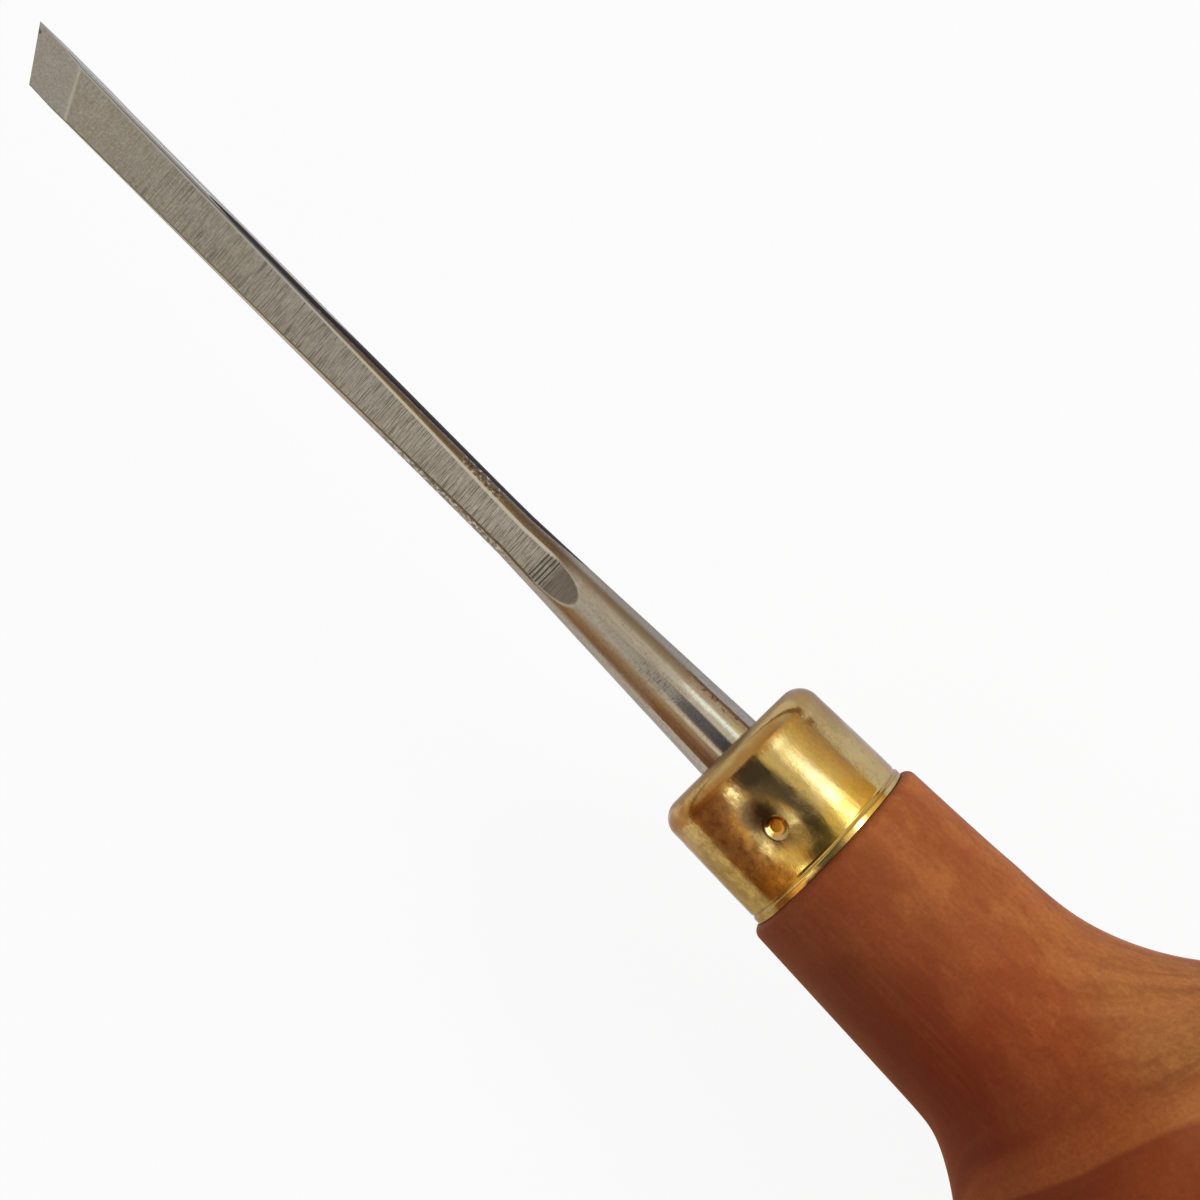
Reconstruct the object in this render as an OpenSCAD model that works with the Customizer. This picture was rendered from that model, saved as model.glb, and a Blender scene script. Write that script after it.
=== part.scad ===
// Skew carving chisel with a palm handle.
// +X runs along the tool towards the cutting edge, +Z out of the upper ground face.
// The origin is on the tool's axis, in the middle of the ferrule's straight band.

/* [Blade] */
// Length from the ferrule's front face to the long point of the edge
blade_len = 76.2; // [50:0.1:110]
// Width of the blade across its side flats
blade_w = 4.0; // [3:0.05:6]
// Thickness of the blade just behind the bevels
blade_t = 1.84; // [1:0.02:2.6]
// Angle of each ground face to the tool's axis
face_angle = 0.79; // [0.3:0.01:1]
// Distance from the ferrule's front face to the start of the ground faces' run-out
face_start = 20; // [10:0.1:30]
// Radius of the grinding wheel that leaves the run-out
wheel_r = 13; // [6:0.5:40]
// Angle of the cutting edge off square
skew_angle = 34; // [0:1:50]
// Angle of each bevel to the blade's middle plane
bevel_angle = 15; // [10:0.5:25]

/* [Shank and tang] */
// Diameter of the shank where it enters the ferrule
shank_d = 5.8; // [4.5:0.02:8]
// Diameter of the rod at its waist
waist_d = 3.84; // [3.2:0.02:4.4]
// Distance from the ferrule's front face to the waist
waist_at = 23; // [12:0.5:40]
// Diameter that the rod has swelled to at the cutting edge
rod_tip_d = 4.28; // [3.4:0.02:6.2]
// Side of the square tang at its root
tang_w = 4.0; // [2.5:0.05:5.5]
// Side of the square tang at its point
tang_tip_w = 1.6; // [0.6:0.05:2.4]
// Length of the tang inside the handle
tang_len = 34; // [15:0.5:45]

/* [Ferrule] */
// Outer diameter of the ferrule's straight band
ferrule_d = 15.3; // [10:0.05:22]
// Length of the straight band
band_len = 8.9; // [5:0.05:16]
// Outer radius of the rounded front edge
front_r = 1.2; // [0.8:0.05:3]
// Wall of the drawn cup
ferrule_wall = 0.7; // [0.4:0.05:1.2]
// Width of the rolled lip at the open end
lip_w = 0.7; // [0.4:0.05:1.5]
// Height of the lip over the band
lip_h = 0.2; // [0.05:0.05:0.5]
// Width of the plain neck between the band and the lip
lip_neck = 0.2; // [0.1:0.05:0.5]
// Distance of the staked dimple behind the front face
dimple_at = 6.9; // [3:0.1:9]
// Radius of the punch's round nose
punch_r = 0.75; // [0.4:0.05:1.2]
// Depth of the dimple
dimple_depth = 0.5; // [0.2:0.05:0.6]

/* [Handle] */
// Length of the handle behind the ferrule
handle_len = 48; // [40:0.5:75]
// Diameter of the neck at its shoulder
neck_d = 17.2; // [16.6:0.1:24]
// Angle of the neck's side to its axis
neck_angle = 2.5; // [0:0.1:5]
// Rounding of the shoulder's edge
shoulder_r = 0.6; // [0.2:0.1:1]
// Largest diameter of the palm knob
knob_d = 36; // [30:0.5:46]
// Distance of the knob's axis from the tool's axis
knob_offset = 0.7; // [0:0.1:2]
// Rounding of the knob's rim
rim_r = 7; // [4:0.5:10]
// Radius of the hollow flare between the neck and the knob
flare_r = 25; // [15:0.5:35]
// Length of the knob behind its widest place
butt_len = 14.2; // [10:0.1:18]
// Diameter of the knob's own turning where the flare starts, hidden inside the neck
flare_d = 16.5; // [15:0.1:17.2]

/* [Fits] */
// Gap left between pieces that are pushed or driven together
fit_gap = 0.05; // [0.02:0.01:0.2]
// Gap between the end of the spigot and the inside of the ferrule
end_gap = 0.1; // [0.05:0.05:0.5]

/* [Hidden] */
$fn = 96;

// Places along the axis
x_face = band_len / 2 + front_r;
x_open = -band_len / 2 - lip_neck - lip_w;
x_inside = x_face - ferrule_wall;
x_spigot = x_inside - end_gap;
x_toe = x_face + blade_len;
x_edge_mid = x_toe - blade_w / 2 * tan(skew_angle);
x_dimple = x_face - dimple_at;

// How far the cutters reach past what they cut
past = 1;
cut_w = max(shank_d, rod_tip_d) + 2 * past;

// Blade faces: half thickness over the middle of the bevels' back line, and at the run-out
bevel_len = blade_t / 2 / tan(bevel_angle) / cos(skew_angle);
x_bevel = x_edge_mid - bevel_len;
x_runout = x_face + face_start;
h_runout = half_thickness(x_runout);

// Ferrule and spigot radii
band_r = ferrule_d / 2;
inner_r = band_r - ferrule_wall;
spigot_r = inner_r - fit_gap;
spigot_chamfer = front_r - ferrule_wall + fit_gap;
z_punch = band_r - dimple_depth + punch_r;

// Knob: a hollow flare, a rounded rim and a domed butt, each tangent to the next.
// Pairs are [radius from the knob's axis, distance behind the ferrule].
flare_turn = acos((flare_d / 2 + flare_r + rim_r - knob_d / 2) / (flare_r + rim_r));
rim_centre = [knob_d / 2 - rim_r, handle_len - butt_len];
flare_centre = rim_centre + (flare_r + rim_r) * [cos(flare_turn), -sin(flare_turn)];
dome_reach = butt_len - rim_r;
dome_r = rim_r + (rim_centre[0] ^ 2 + dome_reach ^ 2) / (2 * dome_reach);
dome_centre = [0, handle_len - dome_r];
neck_end = rim_centre[1] - rim_r;

// Half thickness of the blade at a place along the axis
function half_thickness(x) = blade_t / 2 + (x_bevel - x) * tan(face_angle);

// Turns an outline of [radius, place along the axis] about the tool's axis
module turned() {
  rotate([0, 90, 0])
    rotate_extrude()
      children();
}

// Cuts straight across the tool with an outline of [place along the axis, height]
module across(width) {
  rotate([90, 0, 0])
    linear_extrude(width, center = true)
      children();
}

// Square bar that tapers from one side to another, from the origin towards -X
module tapered_bar(root_w, tip_w, length) {
  intersection() {
    across(root_w)
      taper_outline(root_w, tip_w, length);
    rotate([90, 0, 0])
      across(root_w)
        taper_outline(root_w, tip_w, length);
  }
}

module taper_outline(root_w, tip_w, length) {
  polygon([
    [0, -root_w / 2],
    [0, root_w / 2],
    [-length, tip_w / 2],
    [-length, -tip_w / 2]
  ]);
}

// The round rod that the blade is ground from
module rod() {
  turned()
    polygon([
      [0, x_inside],
      [shank_d / 2, x_inside],
      [shank_d / 2, x_face],
      [waist_d / 2, x_face + waist_at],
      [rod_tip_d / 2, x_toe + past],
      [0, x_toe + past]
    ]);
}

// What the wheel takes off above the upper ground face
module face_cut() {
  wheel_centre = [x_runout, h_runout] + wheel_r * [sin(face_angle), cos(face_angle)];
  across(cut_w)
    union() {
      polygon([
        [x_runout, h_runout],
        [x_toe + 2 * past, half_thickness(x_toe + 2 * past)],
        [x_toe + 2 * past, wheel_centre[1]],
        wheel_centre
      ]);
      translate(wheel_centre)
        circle(wheel_r);
    }
}

// What is ground off beside one side of the blade
module side_cut() {
  translate([x_runout, blade_w / 2, -cut_w / 2])
    cube([x_toe - x_runout + 2 * past, cut_w, cut_w]);
}

// Everything outside the wedge of the two bevels
module bevel_cut() {
  reach = cut_w / tan(bevel_angle);
  translate([x_edge_mid, 0, 0])
    rotate([0, 0, skew_angle])
      across(4 * cut_w)
        polygon([
          [0, 0],
          [-reach, cut_w],
          [reach, cut_w],
          [reach, -cut_w],
          [-reach, -cut_w]
        ]);
}

// Square tang, forged down from the shank, so that no corner stands outside the shank's round
module tang(extra) {
  intersection() {
    translate([x_inside, 0, 0])
      tapered_bar(tang_w + 2 * extra, tang_tip_w + 2 * extra, tang_len + extra);
    translate([x_inside, 0, 0])
      rotate([0, -90, 0])
        cylinder(h = tang_len + extra, r = shank_d / 2 + extra);
  }
}

module blade() {
  color("lightsteelblue")
    union() {
      difference() {
        rod();
        face_cut();
        mirror([0, 0, 1])
          face_cut();
        side_cut();
        mirror([0, 1, 0])
          side_cut();
        bevel_cut();
      }
      tang(0);
    }
}

// Half section of a cup with a rounded front edge, from the axis out
module cup_outline(r, edge_r, front, back) {
  translate([0, back])
    square([r, front - edge_r - back]);
  translate([0, back])
    square([r - edge_r, front - back]);
  translate([r - edge_r, front - edge_r])
    circle(edge_r);
}

module ferrule_outside() {
  turned()
    union() {
      cup_outline(band_r, front_r, x_face, x_open);
      translate([0, x_open])
        square([band_r + lip_h, lip_w]);
    }
}

module ferrule_inside() {
  turned()
    cup_outline(inner_r, front_r - ferrule_wall, x_inside, x_open - past);
}

module shank_hole() {
  translate([x_inside - past, 0, 0])
    rotate([0, 90, 0])
      cylinder(h = ferrule_wall + 2 * past, r = shank_d / 2 + fit_gap);
}

// Round nose of the punch, grown by the metal or gap that lies round it
module punch_nose(grown) {
  translate([x_dimple, 0, z_punch])
    sphere(punch_r + grown);
}

// Metal that the punch pushes inwards, joined to the cup half way through its wall
module pushed_metal() {
  intersection() {
    rotate([0, 90, 0])
      cylinder(h = band_len, r = band_r - ferrule_wall / 2, center = true);
    punch_nose(ferrule_wall);
  }
}

module ferrule() {
  color("goldenrod")
    difference() {
      union() {
        difference() {
          ferrule_outside();
          ferrule_inside();
          shank_hole();
        }
        pushed_metal();
      }
      punch_nose(0);
    }
}

module spigot() {
  turned()
    polygon([
      [0, x_open - past],
      [spigot_r, x_open - past],
      [spigot_r, x_spigot - spigot_chamfer],
      [spigot_r - spigot_chamfer, x_spigot],
      [0, x_spigot]
    ]);
}

// Outlines of the handle are [radius, distance behind the ferrule]
module neck() {
  shoulder = neck_d / 2;
  translate([x_open, 0, 0])
    mirror([1, 0, 0])
      turned()
        union() {
          polygon([
            [0, 0],
            [shoulder - shoulder_r, 0],
            [shoulder - shoulder_r, shoulder_r],
            [shoulder, shoulder_r],
            [shoulder + (neck_end - shoulder_r) * tan(neck_angle), neck_end],
            [0, neck_end]
          ]);
          translate([shoulder - shoulder_r, shoulder_r])
            circle(shoulder_r);
        }
}

module knob() {
  translate([x_open, -knob_offset, 0])
    mirror([1, 0, 0])
      turned()
        union() {
          difference() {
            polygon([
              [0, flare_centre[1]],
              flare_centre,
              rim_centre,
              dome_centre
            ]);
            translate(flare_centre)
              circle(flare_r);
          }
          translate(rim_centre)
            circle(rim_r);
          intersection() {
            translate(dome_centre)
              circle(dome_r);
            polygon([
              dome_centre,
              dome_centre + 4 * (rim_centre - dome_centre),
              [0, handle_len + 4 * dome_r]
            ]);
          }
        }
}

module handle() {
  color("sienna")
    difference() {
      union() {
        spigot();
        neck();
        knob();
      }
      tang(fit_gap);
      punch_nose(ferrule_wall + fit_gap);
    }
}

blade();
ferrule();
handle();
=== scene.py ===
"""Skew carving chisel: a ground steel blade, a staked brass ferrule and a turned palm handle."""

import math
from types import SimpleNamespace

import bmesh
import bpy
import numpy as np
from mathutils import Matrix, Vector


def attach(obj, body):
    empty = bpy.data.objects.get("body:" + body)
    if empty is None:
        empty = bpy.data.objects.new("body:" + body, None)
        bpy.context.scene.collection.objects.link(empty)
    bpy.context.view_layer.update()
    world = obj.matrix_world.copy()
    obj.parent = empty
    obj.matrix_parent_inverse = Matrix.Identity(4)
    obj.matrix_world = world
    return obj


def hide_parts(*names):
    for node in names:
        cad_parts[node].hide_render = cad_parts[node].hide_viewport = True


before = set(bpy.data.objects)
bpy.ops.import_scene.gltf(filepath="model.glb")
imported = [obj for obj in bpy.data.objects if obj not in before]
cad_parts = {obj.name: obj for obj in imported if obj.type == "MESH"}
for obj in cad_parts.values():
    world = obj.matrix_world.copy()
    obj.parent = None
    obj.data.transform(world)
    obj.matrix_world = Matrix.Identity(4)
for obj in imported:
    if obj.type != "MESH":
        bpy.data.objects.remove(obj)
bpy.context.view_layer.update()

# Lengths are in millimetres, in the tool's own frame: +X to the cutting edge, +Z out of the upper face.
MM = 0.001
QUARTER = math.pi / 2

# Places along the tool
X_TANG_END = -29.05
X_FERRULE_BACK = -5.35
X_SPIGOT = 4.85
X_INSIDE = 4.95
X_FERRULE_FRONT = 5.65
X_RUNOUT = 25.25
X_WAIST = 28.65
X_BEVEL = 76.1
X_EDGE = 80.5

# Blade sections
SHANK_R = 2.9
WAIST_R = 1.92
ROD_TIP_R = 2.14
BLADE_HALF_W = 2.05
BEVEL_HALF_T = 0.92
EDGE_HALF_T = 0.006
FACE_SLOPE = math.tan(math.radians(0.79))
WHEEL_R = 13.0
EDGE_SKEW = math.tan(math.radians(33))
BEVEL_SKEW = math.tan(math.radians(26.5))
TANG_HALF_ROOT = 2.0
TANG_HALF_TIP = 0.8

# Chatter lines that the wheel left at its run-out: their width, and the place and depth of each
CHATTER_W = 0.095
CHATTER = [(26.1, 0.004), (25.76, 0.013), (25.43, 0.013), (25.08, 0.014), (24.73, 0.012), (24.4, 0.003)]
CHATTER_MOST = max(depth for place, depth in CHATTER)

# Borders of the dark band painted on the long-point flank, a painted reflection of the shaded table under
# the blade, as pairs of a place and a height
DARK_BAND_TOP = [
    (21.5, -0.3),
    (24, 0.35),
    (27, 0.66),
    (31, 0.7),
    (43, 0.9),
    (49, 1.0),
    (55, 1.1),
    (60, 1.07),
    (63.6, 0.72),
]
DARK_BAND_FOOT = [(43, -0.8), (47, -0.1), (50, 0.35), (55, 0.43), (60, 0.43), (63.6, 0.62)]

# Ferrule
HOLE_R = 2.95
INNER_R = 6.95
BAND_R = 7.65
LIP_R = 7.84
CORNER_R = 1.75
CORNER_START = X_FERRULE_FRONT - CORNER_R
FRONT_R = 7.57
BAND_SWELL = [(-4.45, 7.77), (-1.5, 7.72), (1.0, 7.65), (CORNER_START, FRONT_R)]
DENT_X = -1.25
DENT_DEPTH = 0.5
PIT_X = -0.8
PIT_TURN = QUARTER - 0.045
PIT_DEPTH = 0.34

# Handle, with places measured behind the ferrule
FIT_GAP = 0.05
SEAT_GAP = 0.02
SPIGOT_R = 6.9
SPIGOT_CHAMFER = 0.55
HANDLE_LEN = 48.0
SHOULDER_R = 8.6
SHOULDER_ROUND = 0.7
NECK_SLOPE = math.tan(math.radians(2.5))
KNOB_R = 18.0
KNOB_SHIFT = -0.7
RIM_R = 7.0
FLARE_R = 25.0
FLARE_START_R = 8.25
BUTT_LEN = 14.2


def ease(x, start, end):
    """Smooth step from 0 at start to 1 at end."""
    t = np.clip((x - start) / (end - start), 0, 1)
    return t * t * (3 - 2 * t)


def bump(x, centre, width):
    """Smooth hump of height 1."""
    return np.exp(-(((x - centre) / width) ** 2))


def through(x, pairs):
    """Height at x of a line through pairs of a place and a height."""
    places, heights = zip(*pairs)
    return np.interp(x, places, heights)


def least(sharpness, *values):
    """Smallest of several lengths, with the corners between them rounded."""
    return sum(v ** -sharpness for v in values) ** (-1 / sharpness)


def most(sharpness, *values):
    """Largest of several lengths, with the corners between them rounded."""
    return sum(v ** sharpness for v in values) ** (1 / sharpness)


def steps(start, *stretches):
    """Places from start on, given as pairs of a stretch's end and the step within it."""
    places = [start]
    for end, step in stretches:
        count = max(1, round(abs(end - places[-1]) / step))
        places += list(np.linspace(places[-1], end, count + 1)[1:])
    return np.array(places)


def crowd(low, high, count, density):
    """Places from low to high that lie closer together where the density is high."""
    fine = np.linspace(low, high, 4001)
    total = np.concatenate([[0], np.cumsum(density(fine[1:]))])
    return np.interp(np.linspace(0, total[-1], count), total, fine)


def added(name, data):
    """New object in the scene."""
    made = bpy.data.objects.new(name, data)
    bpy.context.scene.collection.objects.link(made)
    return made


def skin(name, rings, joined=False, **marks):
    """Closed mesh over rings of points in millimetres, with a number per point for each mark.

    The ends are capped, or the last ring joins the first.
    """
    rows, columns = rings.shape[:2]
    index = np.arange(rows * columns).reshape(rows, columns)
    if joined:
        index = np.vstack([index, index[:1]])
    near = index[:-1]
    far = index[1:]
    quads = np.stack([near, np.roll(near, -1, 1), np.roll(far, -1, 1), far], -1)
    faces = quads.reshape(-1, 4).tolist()
    if not joined:
        faces += [index[0, ::-1].tolist(), index[-1].tolist()]
    mesh = bpy.data.meshes.new(name)
    mesh.from_pydata((rings.reshape(-1, 3) * MM).tolist(), [], faces)
    for mark, numbers in marks.items():
        layer = mesh.attributes.new(mark, "FLOAT", "POINT")
        layer.data.foreach_set("value", np.asarray(numbers, np.float32).ravel())
    work = bmesh.new()
    work.from_mesh(mesh)
    bmesh.ops.remove_doubles(work, verts=work.verts, dist=1e-9)
    bmesh.ops.recalc_face_normals(work, faces=work.faces)
    work.to_mesh(mesh)
    work.free()
    mesh.shade_smooth()
    return added(name, mesh)


# Blade


def rod_radius(x):
    """Radius of the round rod that the blade is ground from, with a soft waist."""
    rod = [(X_FERRULE_FRONT, SHANK_R), (X_WAIST, WAIST_R), (X_EDGE, ROD_TIP_R)]
    return through(x, rod) + 0.02 * bump(x, X_WAIST, 3.0)


def tang_half(x):
    """Half the side of the square tang."""
    return through(x, [(X_TANG_END, TANG_HALF_TIP), (X_INSIDE, TANG_HALF_ROOT)])


def chatter(x):
    """Depth of the chatter lines."""
    return sum(depth * bump(x, at, CHATTER_W) for at, depth in CHATTER)


def face_height(x):
    """Height of the ground face over the axis, with the wheel's run-out and its chatter lines."""
    flat = BEVEL_HALF_T + (X_BEVEL - x) * FACE_SLOPE
    low = BEVEL_HALF_T + (X_BEVEL - X_RUNOUT) * FACE_SLOPE
    run = np.clip(X_RUNOUT - x, 0, WHEEL_R * 0.9)
    wheel = low + WHEEL_R - np.sqrt(WHEEL_R ** 2 - run ** 2) + run * FACE_SLOPE
    return np.where(x < X_RUNOUT, wheel, flat) - chatter(x)


def blade_sections():
    """Stations along the blade, with the half width, half height and rod radius of each."""
    root = 4.2
    x = steps(
        X_TANG_END,
        (root, 1.4),
        (5.2, 0.1),
        (21.0, 0.4),
        (26.8, 0.05),
        (70.0, 0.24),
        (75.8, 0.15),
        (76.9, 0.03),
        (80.2, 0.12),
        (X_EDGE, 0.03),
    )
    hidden = x < X_INSIDE + 0.01
    # The tang swells into the round shank, and the side flats run out behind the faces
    tang = tang_half(x) + 1.3 * ease(x, root, X_INSIDE)
    side = BLADE_HALF_W + 1.6 * (1 - ease(x, 17, 30))
    bevel = EDGE_HALF_T + (BEVEL_HALF_T - EDGE_HALF_T) * (X_EDGE - x) / (X_EDGE - X_BEVEL)
    ground = least(90, face_height(x), np.maximum(bevel, EDGE_HALF_T))
    return x, np.where(hidden, tang, side), np.where(hidden, tang, ground), rod_radius(x)


def corner_angle(w, h, r, wide, high):
    """Direction of the arris between a ground face and the flank, in the section's own stretch."""
    if h >= r:
        return QUARTER
    side = min(w, math.sqrt(r * r - h * h))
    return math.atan2(h / high, side / wide)


def section_turns(corner):
    """Directions of a section's points, which lie closer together at the arrises."""
    turn = crowd(0, QUARTER, 37, lambda a: 1 + 6 * bump(a, corner, 0.14) + 1.5 * bump(a, 0, 0.3))
    turn = np.concatenate([turn, math.pi - turn[-2::-1]])
    return np.concatenate([turn, math.pi + turn[1:-1]])


def arris_sharpness(place, turn):
    """Sharpness of the section's corners: higher is crisper, and the long-point side is worn."""
    crisp = 70 + 80 * (1 - ease(place, 24.5, 27))
    worn = crisp + (19 - crisp) * ease(place, 24, 31) * (1 - ease(place, 71, 76))
    return np.where(np.cos(turn) < 0, worn, crisp)


def skewed(place, y):
    """Place of a section's point along the tool, with the skew of the bevels and the edge's one nick."""
    skew = BEVEL_SKEW * ease(place, 60, X_BEVEL)
    skew = skew + (EDGE_SKEW - BEVEL_SKEW) * ease(place, X_BEVEL, X_EDGE)
    nick = 0.28 * bump(y, -1.5, 0.15) * ease(place, X_EDGE - 0.5, X_EDGE)
    return place - y * skew - nick


def blade_ring(place, w, h, r):
    """One section of the blade, and how far each point lies on a ground face, on an arris or under it.

    The arris counts as 1 on the long-point side, where it is worn, and as -1 on the other.
    """
    wide = min(w, r)
    high = min(h, r)
    turn = section_turns(corner_angle(w, h, r, wide, high))
    across = np.abs(np.cos(turn)) + 1e-6
    up = np.abs(np.sin(turn)) + 1e-6
    reach_face = h / (high * up)
    reach_side = w / (wide * across)
    reach_rod = r / np.hypot(wide * across, high * up)
    reach = least(arris_sharpness(place, turn), reach_face, reach_side, reach_rod)
    y = reach * wide * np.cos(turn) - 0.05 * ease(place, 45, 76)
    z = reach * high * np.sin(turn)
    # The lean is 1 on the arris, less on the face and more on the flank
    lean = reach_face / np.minimum(reach_rod, reach_side)
    face = 1 - ease(lean, 0.955, 0.99)
    inner = np.where(y < 0, 0.92, 0.94)
    arris = ease(lean, inner, inner + 0.045) * (1 - ease(lean, 1.01, 1.06))
    under = ease(lean, 1.0, 1.04) * (1 - ease(lean, 1.12, 1.25)) * (y < 0) * ease(place, 42, 52)
    return np.stack([skewed(place, y), y, z], -1), face, arris * np.where(y < 0, 1, -1), under


def dark_reflection_mark(points):
    """Painted dark reflection of the shaded table under the blade, along the long-point flank, as a band
    between two borders.
    """
    x, y, z = np.moveaxis(points, -1, 0)
    top = through(x, DARK_BAND_TOP)
    foot = through(x, DARK_BAND_FOOT)
    band = ease(z, foot - 0.12, foot + 0.12) * (1 - ease(z, top - 0.12, top + 0.12))
    return band * ease(x, 21.2, 24.5) * (1 - ease(x, 62.6, 64.8)) * (y < 0)


def rust_mark(points):
    """Brown film between the painted dark band and the face on the same flank."""
    x, y, z = np.moveaxis(points, -1, 0)
    return ease(z, 0.35, 0.7) * ease(x, 22.5, 26) * (1 - ease(x, 49, 60)) * (y < 0)


def pitted_mark(points):
    """Pitted skin of the rod, left where the wheel hardly touched the flanks."""
    x, y, z = np.moveaxis(points, -1, 0)
    upper = 0.3 + 0.7 * ease(z, -0.1, 0.4)
    short_side = ease(x, 26, 30) * (1 - ease(x, 38, 45)) * upper * (y > 0)
    long_side = ease(x, 30.8, 32) * (1 - ease(x, 35, 36)) * ease(z, 0.5, 0.8) * (y < 0)
    return short_side + long_side


def blade_piece():
    sections = [blade_ring(*section) for section in zip(*blade_sections())]
    rings, face, arris, under = (np.array(part) for part in zip(*sections))
    x = rings[..., 0]
    return skin(
        "skew_blade",
        rings,
        ground=face * ease(x, 20.5, 21.5),
        arris=arris * ease(x, 24.2, 26.2),
        shaded=under,
        groove=chatter(x) / CHATTER_MOST,
        # The scale mark holds the band painted dark on the long-point flank, a painted reflection of the
        # shaded table under the blade.
        scale=dark_reflection_mark(rings),
        rust=rust_mark(rings),
        pitted=pitted_mark(rings),
    )


# Ferrule


def from_pit(x, turn, ahead=0.0, aside=0.0):
    """Distance from the middle of the pit, or from a place ahead and aside of it, along the skin."""
    return np.hypot(x - PIT_X - ahead, (turn - PIT_TURN) * BAND_R + aside)


def stake_depth(x, turn):
    """How far the staking punch has pushed the ferrule in: a soft dent with a round pit in it."""
    away = (turn - QUARTER) * BAND_R
    length = np.where(x > DENT_X, 2.6, 2.1)
    width = np.where(away > 0, 1.62, 2.45)
    dent = DENT_DEPTH * np.exp(-(((x - DENT_X) / length) ** 2) - (away / width) ** 2)
    pit = PIT_DEPTH * (1 - ease(from_pit(x, turn), 0.42, 1.0))
    return (dent + pit) * ease(x, 4.4, 1.5)


def seated(points):
    """Points of the ferrule and the wood that meets it, which aren't quite square to the tool."""
    x, y, z = np.moveaxis(points, -1, 0)
    joint = (1 - ease(x, -5.5, -15)) * ease(x, 1.5, -4.4)
    front = ease(x, -4.4, 4.0)
    moved = points.copy()
    moved[..., 0] += joint * (0.14 - 0.029 * y) + front * 0.045 * z
    return moved


def ferrule_outside():
    """Outside of the drawn cup as [place, radius, share of the punch's push], from its hole to its lip."""
    profile = [(X_FERRULE_FRONT - 0.12, HOLE_R + 0.02, 0), (X_FERRULE_FRONT - 0.03, HOLE_R + 0.08, 0)]
    for r in np.linspace(HOLE_R + 0.18, FRONT_R - CORNER_R - 0.1, 12):
        profile.append((X_FERRULE_FRONT, r, 0))
    for a in np.linspace(0, QUARTER, 30):
        profile.append((CORNER_START + CORNER_R * math.cos(a), FRONT_R - CORNER_R * (1 - math.sin(a)), 0))
    for x in steps(CORNER_START, (1.2, 0.2), (-3.8, 0.075), (-4.4, 0.1))[1:]:
        profile.append((x, through(x, BAND_SWELL) - 0.012 * bump(x, 3.1, 0.3), 1))
    # Hollow in front of the lip, and the rolled lip itself
    profile += [(-4.47, 7.75, 1), (-4.54, 7.70, 0.9), (-4.61, 7.70, 0.8), (-4.67, 7.76, 0.7)]
    for a in np.linspace(0, QUARTER, 6):
        profile.append((-4.72 - 0.2 * (1 - math.cos(a)), LIP_R - 0.09 * (1 - math.sin(a)), 0.6))
    for a in np.linspace(0, QUARTER, 6):
        profile.append((-5.3 - 0.05 * math.sin(a), LIP_R - 0.05 * (1 - math.cos(a)), 0.55))
    return profile


def ferrule_inside():
    """Inside of the cup in the same form, from its open end to its hole."""
    profile = [(X_FERRULE_BACK, 7.4, 0.5), (X_FERRULE_BACK, INNER_R + 0.08, 0.6)]
    for x in steps(X_FERRULE_BACK + 0.08, (-3.2, 0.2), (1.2, 0.1), (4.0, 0.3)):
        profile.append((x, INNER_R, 1))
    profile += [(4.4, 6.82, 0), (4.75, 6.5, 0), (X_INSIDE, 6.1, 0)]
    for r in np.linspace(5.6, HOLE_R + 0.1, 6):
        profile.append((X_INSIDE, r, 0))
    return profile + [(X_INSIDE + 0.08, HOLE_R, 0), (5.3, HOLE_R, 0)]


def ferrule_piece():
    turn = crowd(
        -QUARTER,
        3 * QUARTER,
        261,
        lambda a: 1 + 6 * bump(a, QUARTER, 0.16) + 2 * bump(a, QUARTER, 0.5),
    )[:-1, None]
    x, radius, share = np.array(ferrule_outside() + ferrule_inside()).T[:, None, :]
    lip = ease(x, -4.66, -4.8) * (radius > 7.5)
    wave = 0.035 * np.sin(7 * turn + 1) * np.sin(3 * turn) * lip
    radius = radius + wave - share * stake_depth(x, turn)
    x = np.broadcast_to(x, radius.shape)
    rings = np.stack([x, radius * np.cos(turn), radius * np.sin(turn)], -1)
    return skin(
        "brass_ferrule",
        seated(rings),
        joined=True,
        pit=1 - ease(from_pit(x, turn), 0.46, 0.74),
        # Shade of the dent painted ahead of the pit.
        grime=1 - ease(from_pit(x, turn, ahead=1.6, aside=0.5), 0.5, 1.75),
        film=1 - ease(from_pit(x, turn, ahead=-1.3, aside=-0.9), 0.4, 1.5),
        bloom=1 - ease(from_pit(x, turn, ahead=-0.3, aside=-2.9), 0.6, 1.6),
    )


# Handle


def knob_radius(t):
    """Radius of the knob about its own axis, at a distance behind the ferrule."""
    drop = FLARE_START_R + FLARE_R + RIM_R - KNOB_R
    flare_turn = math.acos(drop / (FLARE_R + RIM_R))
    rim_t = HANDLE_LEN - BUTT_LEN
    rim_c = KNOB_R - RIM_R
    flare_t = rim_t - (FLARE_R + RIM_R) * math.sin(flare_turn)
    flare_c = FLARE_START_R + FLARE_R
    meet_t = rim_t - RIM_R * math.sin(flare_turn)
    reach = BUTT_LEN - RIM_R
    dome_r = RIM_R + (rim_c ** 2 + reach ** 2) / (2 * reach)
    dome_t = HANDLE_LEN - dome_r
    leave_t = rim_t + RIM_R * (rim_t - dome_t) / math.hypot(rim_c, rim_t - dome_t)
    flare = flare_c - np.sqrt(np.maximum(FLARE_R ** 2 - (np.maximum(t, flare_t) - flare_t) ** 2, 0))
    flare = flare - 0.15 * np.maximum(flare_t - t, 0)
    rim = rim_c + np.sqrt(np.maximum(RIM_R ** 2 - (t - rim_t) ** 2, 0))
    dome = np.sqrt(np.maximum(dome_r ** 2 - (t - dome_t) ** 2, 0))
    return np.where(t < meet_t, flare, np.where(t < leave_t, rim, dome))


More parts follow.
